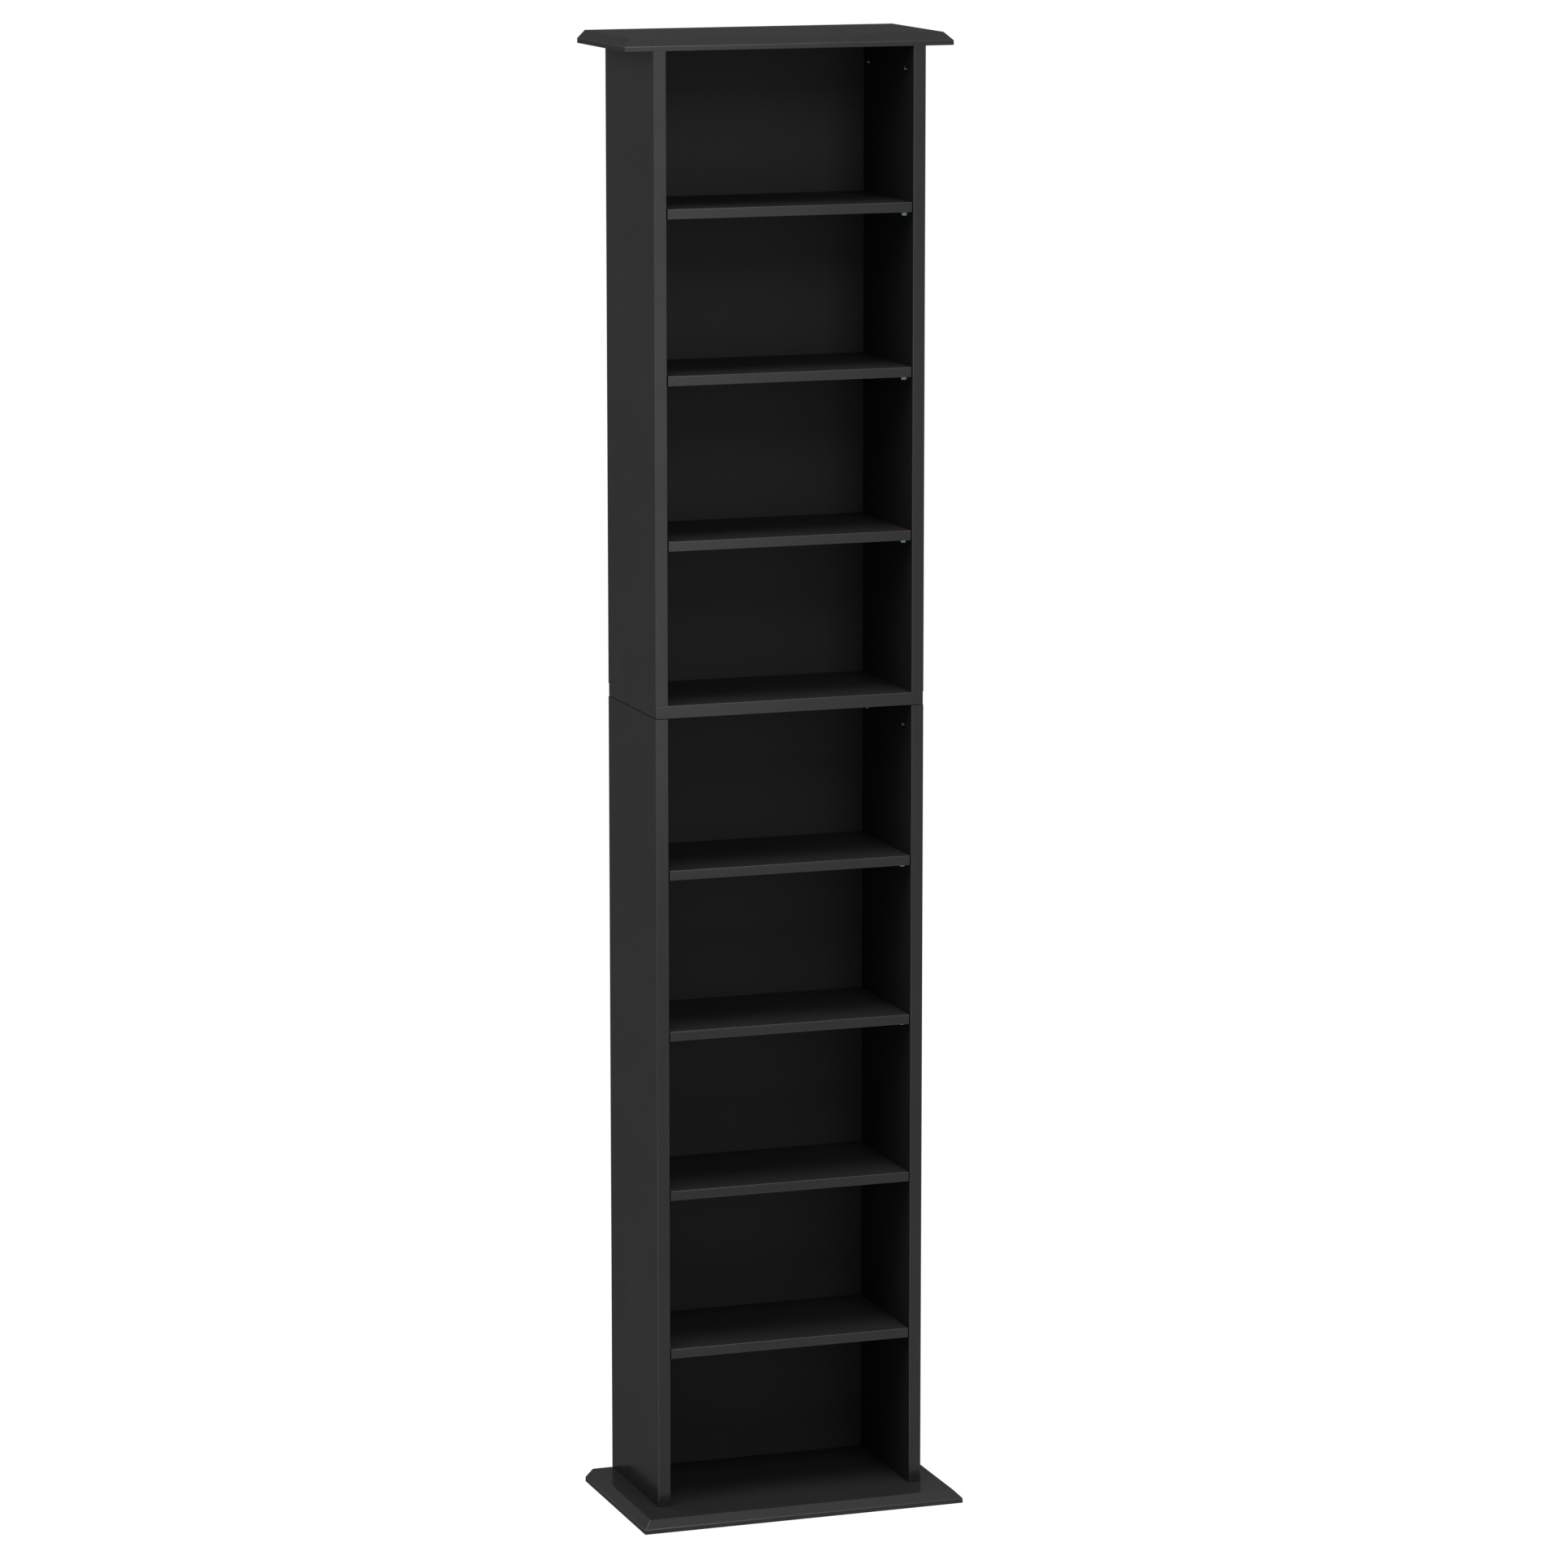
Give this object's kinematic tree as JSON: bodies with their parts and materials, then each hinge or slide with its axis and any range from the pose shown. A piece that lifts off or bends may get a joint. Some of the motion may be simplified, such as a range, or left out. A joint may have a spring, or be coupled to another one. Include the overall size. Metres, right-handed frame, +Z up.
{
  "type": "disc case storage tower",
  "caption": "Tall narrow open-fronted tower of laminated board for disc cases: two stacked cases, slant-edged top and base plates, loose shelves on pins.",
  "frame": {"origin": "centre of the base plate's footprint, on the surface that the tower stands on", "axes": "+Z up, +X to the right seen from the open front, +Y to the back"},
  "size_m": [0.425, 0.25, 1.859],
  "materials": {
    "black_laminate": "satin black melamine laminate on particle board, with edge band",
    "black_hardboard": "thin hardboard, black face towards the rows",
    "pin_plastic": "pale green translucent moulded plastic",
    "cam_zinc": "die-cast zinc cam on a steel bolt",
    "screw_steel": "zinc-plated steel"
  },
  "bodies": {
    "case": {"base_plate": "black_laminate", "middle_board": "black_laminate", "top_plate": "black_laminate", "lower_side_left": "black_laminate", "lower_side_right": "black_laminate", "lower_back_panel": "black_hardboard", "upper_side_left": "black_laminate", "upper_side_right": "black_laminate", "upper_back_panel": "black_hardboard", "shelf_1_pin_left_front": "pin_plastic", "shelf_1_pin_left_back": "pin_plastic", "shelf_1_pin_right_front": "pin_plastic", "shelf_1_pin_right_back": "pin_plastic", "shelf_2_pin_left_front": "pin_plastic", "shelf_2_pin_left_back": "pin_plastic", "shelf_2_pin_right_front": "pin_plastic", "shelf_2_pin_right_back": "pin_plastic", "shelf_3_pin_left_front": "pin_plastic", "shelf_3_pin_left_back": "pin_plastic", "shelf_3_pin_right_front": "pin_plastic", "shelf_3_pin_right_back": "pin_plastic", "shelf_4_pin_left_front": "pin_plastic", "shelf_4_pin_left_back": "pin_plastic", "shelf_4_pin_right_front": "pin_plastic", "shelf_4_pin_right_back": "pin_plastic", "shelf_5_pin_left_front": "pin_plastic", "shelf_5_pin_left_back": "pin_plastic", "shelf_5_pin_right_front": "pin_plastic", "shelf_5_pin_right_back": "pin_plastic", "shelf_6_pin_left_front": "pin_plastic", "shelf_6_pin_left_back": "pin_plastic", "shelf_6_pin_right_front": "pin_plastic", "shelf_6_pin_right_back": "pin_plastic", "shelf_7_pin_left_front": "pin_plastic", "shelf_7_pin_left_back": "pin_plastic", "shelf_7_pin_right_front": "pin_plastic", "shelf_7_pin_right_back": "pin_plastic", "lower_cam_left_front": "cam_zinc", "lower_cam_left_back": "cam_zinc", "lower_cam_right_front": "cam_zinc", "lower_cam_right_back": "cam_zinc", "upper_cam_left_front": "cam_zinc", "upper_cam_left_back": "cam_zinc", "upper_cam_right_front": "cam_zinc", "upper_cam_right_back": "cam_zinc", "lower_screw_left_front": "screw_steel", "lower_screw_left_back": "screw_steel", "lower_screw_right_front": "screw_steel", "lower_screw_right_back": "screw_steel", "upper_screw_left_front": "screw_steel", "upper_screw_left_back": "screw_steel", "upper_screw_right_front": "screw_steel", "upper_screw_right_back": "screw_steel"},
    "shelf_1": {"shelf_1": "black_laminate"},
    "shelf_2": {"shelf_2": "black_laminate"},
    "shelf_3": {"shelf_3": "black_laminate"},
    "shelf_4": {"shelf_4": "black_laminate"},
    "shelf_5": {"shelf_5": "black_laminate"},
    "shelf_6": {"shelf_6": "black_laminate"},
    "shelf_7": {"shelf_7": "black_laminate"}
  },
  "joints": [
    {"name": "shelf_1_draws_out", "type": "slide", "parent": "case", "child": "shelf_1", "axis": [0, -1, 0], "range_m": [0, 0.2]},
    {"name": "shelf_2_draws_out", "type": "slide", "parent": "case", "child": "shelf_2", "axis": [0, -1, 0], "range_m": [0, 0.2]},
    {"name": "shelf_3_draws_out", "type": "slide", "parent": "case", "child": "shelf_3", "axis": [0, -1, 0], "range_m": [0, 0.2]},
    {"name": "shelf_4_draws_out", "type": "slide", "parent": "case", "child": "shelf_4", "axis": [0, -1, 0], "range_m": [0, 0.2]},
    {"name": "shelf_5_draws_out", "type": "slide", "parent": "case", "child": "shelf_5", "axis": [0, -1, 0], "range_m": [0, 0.2]},
    {"name": "shelf_6_draws_out", "type": "slide", "parent": "case", "child": "shelf_6", "axis": [0, -1, 0], "range_m": [0, 0.2]},
    {"name": "shelf_7_draws_out", "type": "slide", "parent": "case", "child": "shelf_7", "axis": [0, -1, 0], "range_m": [0, 0.2]}
  ]
}
